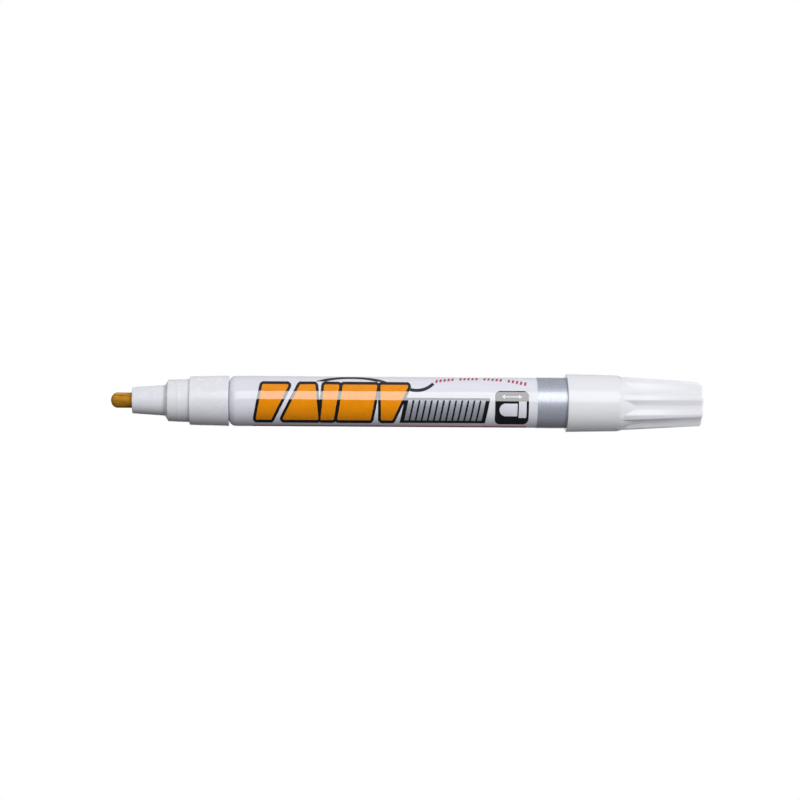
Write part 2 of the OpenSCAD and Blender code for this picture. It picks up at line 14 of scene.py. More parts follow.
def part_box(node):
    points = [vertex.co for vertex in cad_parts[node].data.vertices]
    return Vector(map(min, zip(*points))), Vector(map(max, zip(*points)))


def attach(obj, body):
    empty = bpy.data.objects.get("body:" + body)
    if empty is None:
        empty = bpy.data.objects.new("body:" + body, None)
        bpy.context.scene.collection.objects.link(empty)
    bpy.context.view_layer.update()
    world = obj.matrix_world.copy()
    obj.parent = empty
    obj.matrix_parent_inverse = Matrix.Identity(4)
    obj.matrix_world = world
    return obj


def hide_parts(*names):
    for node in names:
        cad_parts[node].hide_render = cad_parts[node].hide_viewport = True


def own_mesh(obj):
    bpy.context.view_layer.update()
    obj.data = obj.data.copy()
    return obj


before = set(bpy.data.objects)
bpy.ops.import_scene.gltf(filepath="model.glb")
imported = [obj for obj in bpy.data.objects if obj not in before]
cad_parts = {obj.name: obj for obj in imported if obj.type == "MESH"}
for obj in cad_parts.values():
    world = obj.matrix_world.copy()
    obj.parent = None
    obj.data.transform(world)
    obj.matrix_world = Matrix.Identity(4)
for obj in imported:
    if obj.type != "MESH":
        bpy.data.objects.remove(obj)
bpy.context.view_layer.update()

mm = 0.001


# Camera: level with the printed barrel and turned on its side, so that the nib points left

camera_lens = 104.9
camera_distance = 0.6321
camera_height = 0.1027
camera_aim = Vector((0.00053, 0, 0.08184))
camera_roll = radians(0.38)
sensor_width = 36
clip_start = 0.01
clip_end = 20


def make_camera():
    data = bpy.data.cameras.new("camera")
    data.lens = camera_lens
    data.sensor_width = sensor_width
    data.clip_start = clip_start
    data.clip_end = clip_end
    place = Vector((camera_aim.x, -camera_distance, camera_height))
    back = (place - camera_aim).normalized()
    right = Vector((1, 0, 0)).cross(back).normalized()
    up = back.cross(right)
    camera = bpy.data.objects.new("camera", data)
    bpy.context.scene.collection.objects.link(camera)
    turned = Matrix((right, up, back)).transposed().to_4x4()
    rolled = Matrix.Rotation(camera_roll, 4, "Z")
    camera.matrix_world = Matrix.Translation(place) @ turned @ rolled
    bpy.context.scene.camera = camera
    bpy.context.scene.view_settings.view_transform = "Standard"


# Studio: one long soft box above the print as the photo lies, weak fills, white all round


def lamp(name, turn, distance, height, width, length, radiance, lean=0, in_gloss=True):
    """A soft box facing the axis, turned round it from the middle of the print towards -X.

    It leans by an angle, so that its lower end comes nearer to the axis.
    """
    data = bpy.data.lights.new(name, "AREA")
    data.shape = "RECTANGLE"
    data.size = width
    data.size_y = length
    data.energy = radiance * pi * width * length
    outwards = Vector((-sin(turn), -cos(turn), 0))
    along = Vector((0, 0, 1))
    across = along.cross(outwards)
    box = bpy.data.objects.new(name, data)
    bpy.context.scene.collection.objects.link(box)
    facing = Matrix((across, along, outwards)).transposed().to_4x4()
    place = Matrix.Translation(outwards * distance + along * height)
    box.matrix_world = place @ facing @ Matrix.Rotation(lean, 4, "X")
    box.visible_camera = False
    box.visible_glossy = in_gloss


def make_lamps():
    lamp("soft_box", turn=radians(-28), distance=0.436, height=-0.016,
         width=0.355, length=0.47, radiance=3.9, lean=radians(31))
    lamp("top_fill", turn=radians(-135), distance=0.6, height=0.09,
         width=0.5, length=0.5, radiance=3, in_gloss=False)
    lamp("nib_fill", turn=radians(-28), distance=0.8, height=0.6,
         width=0.6, length=0.6, radiance=2.2, lean=radians(-30), in_gloss=False)
    lamp("end_fill", turn=radians(65), distance=0.2, height=-0.06,
         width=0.16, length=0.16, radiance=1.1, in_gloss=False)
    lamp("back_fill", turn=radians(180), distance=0.6, height=0.09,
         width=0.3, length=0.4, radiance=5, in_gloss=False)


# Node helpers

# The colour sockets of a mix node go by number, because its other kinds of socket share their names
mix_a = 6
mix_b = 7
mix_result = 2


def add_node(tree, kind, **settings):
    node = tree.nodes.new(kind)
    for name, value in settings.items():
        setattr(node, name, value)
    return node


def plug(tree, value, socket):
    """Feeds a socket from an output, or sets it to a constant."""
    if isinstance(value, bpy.types.NodeSocket):
        tree.links.new(value, socket)
    else:
        socket.default_value = value


def maths(tree, operation, a, b=0.0):
    node = add_node(tree, "ShaderNodeMath", operation=operation)
    plug(tree, a, node.inputs[0])
    plug(tree, b, node.inputs[1])
    return node.outputs[0]


def ranged(tree, value, low, high, to_low, to_high, smooth=False):
    """A value taken from one range to another, and held at its ends."""
    curve = "SMOOTHSTEP" if smooth else "LINEAR"
    node = add_node(tree, "ShaderNodeMapRange", interpolation_type=curve)
    plug(tree, value, node.inputs["Value"])
    plug(tree, low, node.inputs["From Min"])
    plug(tree, high, node.inputs["From Max"])
    plug(tree, to_low, node.inputs["To Min"])
    plug(tree, to_high, node.inputs["To Max"])
    return node.outputs["Result"]


def blended(tree, factor, a, b, blend_type="MIX"):
    node = add_node(tree, "ShaderNodeMix", data_type="RGBA", blend_type=blend_type)
    plug(tree, factor, node.inputs["Factor"])
    plug(tree, a, node.inputs[mix_a])
    plug(tree, b, node.inputs[mix_b])
    return node.outputs[mix_result]


def toned(tree, colour, tone):
    """A colour times a number."""
    return blended(tree, 1.0, colour, tone, "MULTIPLY")


def axis_of(tree, vector, axis):
    """One coordinate of a vector."""
    part = add_node(tree, "ShaderNodeSeparateXYZ")
    plug(tree, vector, part.inputs[0])
    return part.outputs[axis]


def noise(tree, place, stretch, scale, detail=2.0, roughness=0.5):
    """Noise at a scale in bumps for each metre, squeezed or drawn out along each axis."""
    mapping = add_node(tree, "ShaderNodeMapping")
    plug(tree, place, mapping.inputs["Vector"])
    mapping.inputs["Scale"].default_value = stretch
    node = add_node(tree, "ShaderNodeTexNoise")
    plug(tree, mapping.outputs[0], node.inputs["Vector"])
    node.inputs["Scale"].default_value = scale
    node.inputs["Detail"].default_value = detail
    node.inputs["Roughness"].default_value = roughness
    return node.outputs["Fac"]


def around_one(tree, value, low, high, spread):
    """A value between low and high, taken to between 1 - spread and 1 + spread."""
    least = maths(tree, "SUBTRACT", 1.0, spread)
    most = maths(tree, "ADD", 1.0, spread)
    return ranged(tree, value, low, high, least, most)


def bumped(tree, height, strength, depth):
    node = add_node(tree, "ShaderNodeBump")
    plug(tree, height, node.inputs["Height"])
    plug(tree, strength, node.inputs["Strength"])
    node.inputs["Distance"].default_value = depth
    return node.outputs["Normal"]


def seen_in_gloss(tree, path):
    """1 for a ray off gloss or through glass and 0 for others, from a light path node."""
    glossy = path.outputs["Is Glossy Ray"]
    return maths(tree, "MAXIMUM", glossy, path.outputs["Is Transmission Ray"])


def new_group(name, inputs, outputs):
    """A node group with float, colour or vector inputs, by the length of their defaults."""
    tree = bpy.data.node_groups.new(name, "ShaderNodeTree")
    kinds = {1: "NodeSocketFloat", 3: "NodeSocketVector", 4: "NodeSocketColor"}
    for label, default in inputs.items():
        size = 1 if isinstance(default, float) else len(default)
        socket = tree.interface.new_socket(label, in_out="INPUT", socket_type=kinds[size])
        socket.default_value = default
    for label, size in outputs.items():
        tree.interface.new_socket(label, in_out="OUTPUT", socket_type=kinds[size])
    start = tree.nodes.new("NodeGroupInput")
    end = tree.nodes.new("NodeGroupOutput")
    return tree, start.outputs, end.inputs


def use_group(tree, group, **values):
    node = add_node(tree, "ShaderNodeGroup", node_tree=group)
    for label, value in values.items():
        plug(tree, value, node.inputs[label])
    return node.outputs


def new_material(name):
    """A material, its tree, its shader's inputs and the object's own coordinates."""
    material = bpy.data.materials.new(name)
    material.use_nodes = True
    tree = material.node_tree
    surface = tree.nodes["Principled BSDF"].inputs
    place = tree.nodes.new("ShaderNodeTexCoord").outputs["Object"]
    return material, tree, surface, place


def plug_all(tree, made, surface, *names):
    """Feeds the shader from a group's outputs, whose colour goes to its base."""
    for name in names:
        plug(tree, made[name], surface["Base Color" if name == "Colour" else name])


# World and floor


def make_world():
    """White where the camera looks, and a dim room with a white backdrop behind for the gloss.

    The gloss shows the room lighter towards +X, the upper side of the print.
    """
    backdrop_edge = cos(radians(32))
    backdrop_full = cos(radians(15))
    room_dark = 0.035
    room_light = 0.22
    matt_light = (0.08, 0.08, 0.085, 1)
    world = bpy.data.worlds.new("white_studio")
    world.use_nodes = True
    tree = world.node_tree
    way = add_node(tree, "ShaderNodeTexCoord").outputs["Generated"]
    depth = axis_of(tree, way, "Y")
    backdrop = ranged(tree, depth, backdrop_edge, backdrop_full, 0.0, 1.0, smooth=True)
    room = ranged(tree, axis_of(tree, way, "X"), -0.1, 0.9, room_dark, room_light, smooth=True)
    path = add_node(tree, "ShaderNodeLightPath")
    in_gloss = seen_in_gloss(tree, path)
    level = blended(tree, in_gloss, matt_light, room)
    mirrored = maths(tree, "MULTIPLY", in_gloss, backdrop)
    white = maths(tree, "MAXIMUM", path.outputs["Is Camera Ray"], mirrored)
    colour = blended(tree, white, level, (1, 1, 1, 1))
    plug(tree, colour, tree.nodes["Background"].inputs["Color"])
    bpy.context.scene.world = world


def make_floor():
    """A small pale table top, which ends before it would hide the soft box from the gloss.

    The camera sees the white behind it instead, because a cap that is pulled off goes below it.
    """
    radius = 0.045
    below = Matrix.Translation((0, 0, -0.02 * mm))
    glow_in_gloss = 0.86
    bm = bmesh.new()
    bmesh.ops.create_circle(bm, cap_ends=True, segments=96, radius=radius, matrix=below)
    floor = as_piece(bm, "floor", smooth=False)
    floor.visible_camera = False
    floor.visible_shadow = False
    material, tree, surface, _ = new_material("pale_floor")
    surface["Base Color"].default_value = (0.86, 0.86, 0.87, 1)
    surface["Roughness"].default_value = 0.9
    surface["Specular IOR Level"].default_value = 0.1
    surface["Emission Color"].default_value = (1, 1, 1, 1)
    in_gloss = seen_in_gloss(tree, add_node(tree, "ShaderNodeLightPath"))
    glow = maths(tree, "MULTIPLY", in_gloss, glow_in_gloss)
    plug(tree, glow, surface["Emission Strength"])
    floor.data.materials.append(material)


# Effects that several finishes share

even = (1, 1, 1)


def make_wear():
    """Gloss finish: faint ripple, patches dulled by hands and a few hairline marks."""
    hairline_w = 0.012
    dullest = 0.95
    tree, start, end = new_group(
        "handled_gloss",
        {"Place": (0.0, 0.0, 0.0), "Roughness": 0.06, "Ripple": 0.1, "Marks": 0.1},
        {"Roughness": 1, "Normal": 3})
    place = start["Place"]
    marks = start["Marks"]
    patches = noise(tree, place, (1, 1, 0.5), scale=160, detail=3.0)
    smudge = ranged(tree, patches, 0.45, 0.75, 0.0, 1.0, smooth=True)
    fine = noise(tree, place, even, scale=2200)
    dulled = maths(tree, "MULTIPLY", maths(tree, "MULTIPLY", smudge, fine), marks)
    lines = noise(tree, place, (2.2, 2.2, 0.12), scale=900, detail=1.0)
    off_line = maths(tree, "ABSOLUTE", maths(tree, "SUBTRACT", lines, 0.5))
    hairline = ranged(tree, off_line, 0.0, hairline_w, 1.0, 0.0)
    gaps = noise(tree, place, (1, 1, 0.6), scale=420, detail=1.0)
    broken = ranged(tree, gaps, 0.56, 0.66, 0.0, 1.0)
    scratch = maths(tree, "MULTIPLY", maths(tree, "MULTIPLY", hairline, broken), marks)
    rough = maths(tree, "ADD", maths(tree, "ADD", start["Roughness"], dulled), scratch)
    plug(tree, maths(tree, "MINIMUM", rough, dullest), end["Roughness"])
    swell = noise(tree, place, (1, 1, 0.35), scale=420, detail=1.0)
    plug(tree, bumped(tree, swell, start["Ripple"], depth=0.04 * mm), end["Normal"])
    return tree


def make_skin():
    """Moulded plastic: fine grain, soft flow marks along the axis and patchy sheen."""
    tree, start, end = new_group(
        "moulded_skin",
        {"Place": (0.0, 0.0, 0.0), "Colour": (0.8, 0.8, 0.8, 1.0), "Roughness": 0.4, "Grain": 0.2},
        {"Colour": 4, "Roughness": 1, "Normal": 3})
    place = start["Place"]
    flow = noise(tree, place, (1, 1, 0.18), scale=330, detail=3.0)
    cloud = noise(tree, place, (1, 1, 0.7), scale=95)
    flow_tone = ranged(tree, flow, 0.3, 0.7, -0.012, 0.012)
    cloud_tone = ranged(tree, cloud, 0.3, 0.7, 0.975, 1.015)
    tone = maths(tree, "ADD", flow_tone, cloud_tone)
    plug(tree, toned(tree, start["Colour"], tone), end["Colour"])
    patches = noise(tree, place, (1, 1, 0.8), scale=260)
    sheen = ranged(tree, patches, 0.35, 0.7, 0.82, 1.3)
    plug(tree, maths(tree, "MULTIPLY", start["Roughness"], sheen), end["Roughness"])
    grain = noise(tree, place, even, scale=3800, detail=3.0, roughness=0.6)
    plug(tree, bumped(tree, grain, start["Grain"], depth=0.03 * mm), end["Normal"])
    return tree


def make_ink_body():
    """Screen-printed ink: slightly uneven cover, with pinholes that let the ground show."""
    ground = (0.7, 0.7, 0.72, 1)
    tree, start, end = new_group(
        "ink_body",
        {"Place": (0.0, 0.0, 0.0), "Colour": (0.5, 0.5, 0.5, 1.0), "Mottle": 0.08},
        {"Colour": 4})
    cover = noise(tree, start["Place"], even, scale=520, detail=4.0, roughness=0.6)
    uneven = around_one(tree, cover, 0.3, 0.7, start["Mottle"])
    inked = toned(tree, start["Colour"], uneven)
    pores = noise(tree, start["Place"], even, scale=5200, detail=1.0)
    pinhole = ranged(tree, pores, 0.74, 0.8, 0.0, 0.2)
    plug(tree, blended(tree, pinhole, inked, ground), end["Colour"])
    return tree


def make_flake():
    """Metallic ink: flakes that each catch the light a little differently."""
    flakes_per_metre = 7500
    tree, start, end = new_group(
        "metal_flake",
        {"Place": (0.0, 0.0, 0.0), "Colour": (0.4, 0.4, 0.44, 1.0), "Contrast": 0.2},
        {"Colour": 4, "Roughness": 1, "Normal": 3})
    cells = add_node(tree, "ShaderNodeTexVoronoi", feature="F1")
    plug(tree, start["Place"], cells.inputs["Vector"])
    cells.inputs["Scale"].default_value = flakes_per_metre
    chance = add_node(tree, "ShaderNodeSeparateColor")
    plug(tree, cells.outputs["Color"], chance.inputs[0])
    glint = around_one(tree, chance.outputs[0], 0.0, 1.0, start["Contrast"])
    plug(tree, toned(tree, start["Colour"], glint), end["Colour"])
    plug(tree, ranged(tree, chance.outputs[1], 0.0, 1.0, 0.36, 0.56), end["Roughness"])
    plug(tree, bumped(tree, chance.outputs[2], 0.12, depth=0.02 * mm), end["Normal"])
    return tree


# Finishes


def gloss_white(name, colour, specular, roughness, ripple, marks, tint_depth=0.02, dull_and_lit_below=None):
    """Lacquer or polished plastic in an off-white that varies very slightly.

    Below a height in metres, if one is named, hands have rubbed it duller, and its colour is
    painted lighter there as painted light.
    """
    dull_roughness = 0.28
    painted_light_tone = 1.09
    dull_fade = mm
    painted_light_fade = 8 * mm
    material, tree, surface, place = new_material(name)
    cloud = noise(tree, place, (1, 1, 0.4), scale=70, detail=3.0)
    tone = ranged(tree, cloud, 0.3, 0.7, 1 - tint_depth, 1 + tint_depth / 2)
    if dull_and_lit_below:
        height = axis_of(tree, place, "Z")
        full_gloss = dull_and_lit_below + dull_fade
        roughness = ranged(tree, height, dull_and_lit_below, full_gloss,
                           dull_roughness, roughness, smooth=True)
        # Painted light: the colour is made lighter below the height.
        painted_light = ranged(tree, height, dull_and_lit_below - painted_light_fade, full_gloss,
                       painted_light_tone, 1.0, smooth=True)
        tone = maths(tree, "MULTIPLY", tone, painted_light)
    plug(tree, toned(tree, (*colour, 1), tone), surface["Base Color"])
    worn = use_group(tree, wear, Place=place, Roughness=roughness, Ripple=ripple, Marks=marks)
    plug_all(tree, worn, surface, "Roughness", "Normal")
    surface["Specular IOR Level"].default_value = specular
    return material


def moulded(name, colour, specular, roughness, grain):
    material, tree, surface, place = new_material(name)
    made = use_group(tree, skin, Place=place, Colour=(*colour, 1), Roughness=roughness, Grain=grain)
    plug_all(tree, made, surface, "Colour", "Roughness", "Normal")
    surface["Specular IOR Level"].default_value = specular
    return material


def satin_white():
    """Satin moulded white, rubbed to a shine in patches, most of all at the collar's rear end."""
    colour = (0.77, 0.775, 0.825, 1)
    shiny = 0.06
    rear_from = (mouth_z + 5.5) * mm
    rear_to = (mouth_z + 3.8) * mm
    material, tree, surface, place = new_material("satin_plastic")
    made = use_group(tree, skin, Place=place, Colour=colour, Roughness=0.3, Grain=0.25)
    height = axis_of(tree, place, "Z")
    rear = ranged(tree, height, rear_from, rear_to, 0.45, 1.0, smooth=True)
    patches = noise(tree, place, (1, 1, 0.8), scale=560, detail=3.0, roughness=0.6)
    touched = ranged(tree, patches, 0.38, 0.5, 0.0, 1.0, smooth=True)
    rubbed = maths(tree, "MULTIPLY", rear, touched)
    rough = ranged(tree, rubbed, 0.0, 1.0, made["Roughness"], shiny)
    plug(tree, rough, surface["Roughness"])
    plug_all(tree, made, surface, "Colour", "Normal")
    surface["Specular IOR Level"].default_value = 0.46
    return material


def gloss_ink(name, colour, ior=1.5, mottle=0.06):
    material, tree, surface, place = new_material(name)
    body = use_group(tree, ink_body, Place=place, Colour=(*colour, 1), Mottle=mottle)
    plug_all(tree, body, surface, "Colour")
    worn = use_group(tree, wear, Place=place, Roughness=0.05, Ripple=0.1, Marks=0.08)
    plug_all(tree, worn, surface, "Roughness", "Normal")
    surface["IOR"].default_value = ior
    surface["Specular IOR Level"].default_value = 0.9
    return material


def metallic_ink(name, colour, metallic, contrast, coat):
    material, tree, surface, place = new_material(name)
    flakes = use_group(tree, flake, Place=place, Colour=(*colour, 1), Contrast=contrast)
    plug_all(tree, flakes, surface, "Colour", "Roughness", "Normal")
    surface["Metallic"].default_value = metallic
    surface["Coat Weight"].default_value = coat
    surface["Coat IOR"].default_value = 1.75
    surface["Coat Roughness"].default_value = 0.05
    return material


def stained_fibre():
    """Bonded fibre soaked with ochre paint: streaks along it, dark at the rim and in spots, with
    painted shade on its -X side.
    """
    fibre_colour = (0.68, 0.33, 0.03, 1)
    streak_colour = (0.27, 0.11, 0.008, 1)
    rim_colour = (0.20, 0.085, 0.008, 1)
    blot_colour = (0.27, 0.115, 0.009, 1)
    # Painted shade: the colour that the nib's -X side is darkened towards.
    painted_shade_colour = (0.26, 0.12, 0.012, 1)
    rim_waves = 1.2 * mm
    rim_from = (nose_front_z + 0.4) * mm
    rim_to = (nose_front_z + 1.6) * mm
    material, tree, surface, place = new_material("nib_fibre")
    streaks = noise(tree, place, (1, 1, 0.07), scale=2600, detail=3.0, roughness=0.6)
    streaked = ranged(tree, streaks, 0.35, 0.68, 0.0, 1.0)
    colour = blended(tree, streaked, fibre_colour, streak_colour)
    waves = maths(tree, "MULTIPLY", noise(tree, place, (1, 1, 0.4), scale=700), rim_waves)
    edge = maths(tree, "ADD", axis_of(tree, place, "Z"), waves)
    rim = ranged(tree, edge, rim_from, rim_to, 0.55, 0.0, smooth=True)
    colour = blended(tree, rim, colour, rim_colour)
    blots = noise(tree, place, (1, 1, 0.5), scale=640)
    soaked = ranged(tree, blots, 0.56, 0.7, 0.0, 0.5, smooth=True)
    colour = blended(tree, soaked, colour, blot_colour)
    # Painted shade: darker towards -X, the side away from the soft box.
    side = axis_of(tree, place, "X")
    painted_shade_side = ranged(tree, side, -0.4 * mm, -2.2 * mm, 0.0, 0.45, smooth=True)
    colour = blended(tree, painted_shade_side, colour, painted_shade_colour)
    plug(tree, colour, surface["Base Color"])
    plug(tree, ranged(tree, streaks, 0.3, 0.7, 0.6, 0.8), surface["Roughness"])
    plug(tree, bumped(tree, streaks, 0.5, depth=0.06 * mm), surface["Normal"])
    surface["Specular IOR Level"].default_value = 0.1
    return material


def bare_steel(name, colour, roughness, drawn):
    """Steel with fine lines drawn along or across, and slightly uneven sheen."""
    dark = [0.8 * part for part in colour]
    material, tree, surface, place = new_material(name)
    lines = noise(tree, place, drawn, scale=2400, detail=3.0, roughness=0.6)
    plug(tree, blended(tree, lines, (*colour, 1), (*dark, 1)), surface["Base Color"])
    uneven = ranged(tree, lines, 0.3, 0.7, 0.7 * roughness, 1.4 * roughness)
    plug(tree, uneven, surface["Roughness"])
    plug(tree, bumped(tree, lines, 0.15, depth=0.02 * mm), surface["Normal"])
    surface["Metallic"].default_value = 1
    return material


# Sizes in millimetres, from the frame where a box gives them


def heights(node):
    low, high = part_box(node)
    return low.z / mm, high.z / mm


def widest(node):
    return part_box(node)[1].x / mm


barrel_z, mouth_z = heights("barrel")
cap_len = heights("cap")[1]
collar_front_z, nose_front_z = heights("nose")
nib_rear_z, nib_tip_z = heights("nib")
neck_end_z, tenon_end_z = heights("valve_collar")
barrel_r = widest("barrel")
ink_r = widest("print_band")
nib_r = widest("nib")
band_rear_r = widest("nose")
collar_front_r = 6.6
tenon_r = 5
chamber_r = 2.6


# Meshes

weld_reach = 0.001 * mm


def as_piece(bm, name, smooth=True, sharp=radians(32)):
    """A new object from a bmesh, at the origin, shaded smooth except across sharp edges."""
    mesh = bpy.data.meshes.new(name)
    bm.to_mesh(mesh)
    bm.free()
    piece = bpy.data.objects.new(name, mesh)
    bpy.context.scene.collection.objects.link(piece)
    if smooth:
        mesh.shade_smooth()
        mesh.set_sharp_from_angle(angle=sharp)
    return piece


def dress(piece, body, slot, material, *nodes):
    """Gives a new piece its finish and its body, and hides the nodes that it stands for."""
    piece.data.materials.append(material)
    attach(piece, body)
    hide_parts(*nodes)


def arc(centre_r, centre_z, radius, start, stop, steps=8):
    """Corners along an arc, between two angles in degrees from the outward direction."""
    turns = [radians(start + (stop - start) * i / steps) for i in range(steps + 1)]
    return [(centre_r + radius * cos(turn), centre_z + radius * sin(turn), 0) for turn in turns]


def hold_ends(edges, reach=0.1 * mm):
    """Cuts long edges close to both ends, so that smooth shading bends only there."""
    for edge in edges:
        near, far = edge.verts
        length = edge.calc_length()
        first = bmesh.utils.edge_split(edge, near, reach / length)[1]
        middle = next(part for part in first.link_edges if far in part.verts)
        bmesh.utils.edge_split(middle, far, reach / (length - reach))


def spun(corners, segments, closed=True, rows=0):
    """A bmesh turned about Z from corners of (radius, height, rounding) in millimetres.

    The longest straight stretch of the outline is cut into that many rows, if any are named.
    """
    bm = bmesh.new()
    verts = [bm.verts.new((radius * mm, 0, height * mm)) for radius, height, _ in corners]
    ends = verts[1:] + verts[:1] if closed else verts[1:]
    for start, end in zip(verts, ends):
        bm.edges.new((start, end))
    for vert, (_, _, rounding) in zip(verts, corners):
        if rounding:
            bmesh.ops.bevel(bm, geom=[vert], offset=rounding * mm, offset_type="OFFSET",
                            segments=6, profile=0.5, affect="VERTICES", material=-1)
    if rows:
        longest = max(bm.edges, key=lambda edge: edge.calc_length())
        bmesh.ops.subdivide_edges(bm, edges=[longest], cuts=rows - 1)
    hold_ends([edge for edge in bm.edges if edge.calc_length() > mm])
    bmesh.ops.spin(bm, geom=bm.verts[:] + bm.edges[:], cent=(0, 0, 0), axis=(0, 0, 1),
                   angle=2 * pi, steps=segments, use_merge=True)
    bmesh.ops.remove_doubles(bm, verts=bm.verts[:], dist=weld_reach / 2)
    bmesh.ops.recalc_face_normals(bm, faces=bm.faces[:])
    return bm


# Barrel


def make_barrel():
    mouth_r = 4.6
    wall = 0.4
    floor = 0.5
    shoulder = 1.8
    rear_edge = 0.7
    bore_r = barrel_r - wall
    bm = spun([
        (0, barrel_z, 0),
        (barrel_r, barrel_z, rear_edge),
        (barrel_r, mouth_z, shoulder),
        (mouth_r, mouth_z, 0),
        (mouth_r, mouth_z - wall, 0),
        (bore_r, mouth_z - wall, shoulder - wall),
        (bore_r, barrel_z + floor, rear_edge / 2),
        (0, barrel_z + floor, 0)], segments=192, closed=False)
    dress(as_piece(bm, "lacquered_barrel"), "barrel", "white_lacquer", white_lacquer, "barrel")


# Valve collar


def make_valve_collar():
    seat_z = mouth_z + 0.35
    seat_front_z = seat_z + 1.2
    neck_bore_r = 3.2
    neck_r = 4.2
    hole_r = 1.7
    edge = 0.1
    end_edge = 0.15
    front_edge = 0.25
    bm = spun([
        (hole_r, seat_z, 0),
        (neck_bore_r, seat_z, 0),
        (neck_bore_r, neck_end_z, edge),
        (neck_r, neck_end_z, end_edge),
        (neck_r, mouth_z, 0),
        (barrel_r, mouth_z, edge),
        (collar_front_r, collar_front_z, front_edge),
        (tenon_r, collar_front_z, 0),
        (tenon_r, tenon_end_z, end_edge),
        (chamber_r, tenon_end_z, edge),
        (chamber_r, seat_front_z, 0),
        (hole_r, seat_front_z, edge)], segments=160)
    dress(as_piece(bm, "tapered_collar"), "barrel", "satin_plastic", satin_plastic, "valve_collar")


# Nose


def make_nose():
    draft = 0.25
    band_len = 5.8
    bead_at = 3
    bead_half_w = 0.5
    bead_h = 0.08
    flare_slope = tan(radians(30))
    band_end_z = collar_front_z + band_len
    front_r = nib_r + 1.5
    cone_r = front_r + 0.57
    guide_r = nib_r + 0.05
    guide_z = nose_front_z - 7

    def band_r(above):
        return band_rear_r - draft * above / band_len

    bm = spun([
        (tenon_r, collar_front_z, 0),
        (band_r(0), collar_front_z, 0.05),
        (band_r(bead_at - bead_half_w), collar_front_z + bead_at - bead_half_w, 0.12),
        (band_r(bead_at) + bead_h, collar_front_z + bead_at, 0.3),
        (band_r(bead_at + bead_half_w), collar_front_z + bead_at + bead_half_w, 0.12),
        (band_r(band_len), band_end_z, 0.1),
        (cone_r, band_end_z + (band_r(band_len) - cone_r) * flare_slope, 0.45),
        (front_r, nose_front_z, 0.25),
        (guide_r, nose_front_z, 0.12),
        (guide_r, guide_z, 0),
        (chamber_r, guide_z - (chamber_r - guide_r), 0),
        (chamber_r, tenon_end_z, 0),
        (tenon_r, tenon_end_z, 0)], segments=160)
    dress(as_piece(bm, "nose_cone"), "barrel", "satin_plastic", satin_plastic, "nose")


# Nib


def make_nib():
    tip_len = 1.8
    rear_edge = 0.2
    steps = 12
    base_z = nib_tip_z - tip_len
    turns = [pi / 2 * i / steps for i in range(steps + 1)]
    tip = [(nib_r * cos(turn), base_z + tip_len * sin(turn), 0) for turn in turns]
    shank = [(0, nib_rear_z, 0), (nib_r, nib_rear_z, rear_edge)]
    bm = spun(shank + tip, segments=96, closed=False)
    dress(as_piece(bm, "bullet_nib"), "nib_pump", "nib_fibre", fibre, "nib")


# Cap: its outline, then the grooves between the ridges, whose run-outs end high on the step

cap_bore_gap = 0.1
cap_bore_r = barrel_r + cap_bore_gap
cap_mouth_r = widest("cap")
cap_collar_len = 13.85
cap_collar_draft = 0.27
cap_collar_end_r = cap_mouth_r - cap_collar_draft
cap_collar_end_z = cap_len - cap_collar_len
cap_step = 0.33
cap_step_len = 1.2
crest_draft = 1.2
ridge_top_z = cap_collar_end_z - cap_step_len
crest_top_r = cap_collar_end_r - cap_step
crest_end_r = crest_top_r - crest_draft
crest_slope = (crest_top_r - crest_end_r) / ridge_top_z
ridges = 8
first_ridge = radians(-90 + 13)
groove_depth = 0.9
groove_floor_half = 0.6
groove_top_half = 2.025
groove_runout_len = 3
groove_full_z = ridge_top_z - groove_runout_len
groove_top_z = ridge_top_z + 0.9 * cap_step_len
groove_top_r = crest_top_r + 0.95 * cap_step
soft_edge = 0.16


def crest_r(height):
    return crest_end_r + crest_slope * height


def eased_min(a, b, reach):
    """The smaller of two numbers, rounded where they meet."""
    share = max(reach - abs(a - b), 0) / reach
    return min(a, b) - share * share * reach / 4


def eased_max(a, b, reach):
    return -eased_min(-a, -b, reach)


def groove_radius(turn, height):
    """Radius of the cut surface at a turn from a groove's middle: its floor, run-out or walls.

    Past the turn at which the walls open no further, nothing is cut.
    """
    least_lean = 0.02
    uncut = 100
    mean_r = crest_r(ridge_top_z / 2)
    wall_rise = groove_depth - (mean_r - sqrt(mean_r * mean_r - groove_top_half * groove_top_half))
    spread = (groove_top_half - groove_floor_half) / wall_rise
    floor = crest_r(height) - groove_depth
    full_floor = crest_r(groove_full_z) - groove_depth
    rise = (groove_top_r - full_floor) / (groove_top_z - groove_full_z)
    runout = full_floor + rise * (height - groove_full_z)
    level = eased_max(floor / cos(turn), runout, soft_edge)
    lean = spread * cos(turn) - abs(sin(turn))
    if lean <= least_lean:
        return uncut
    wall = (spread * floor - groove_floor_half) / lean
    return eased_max(level, wall, soft_edge)


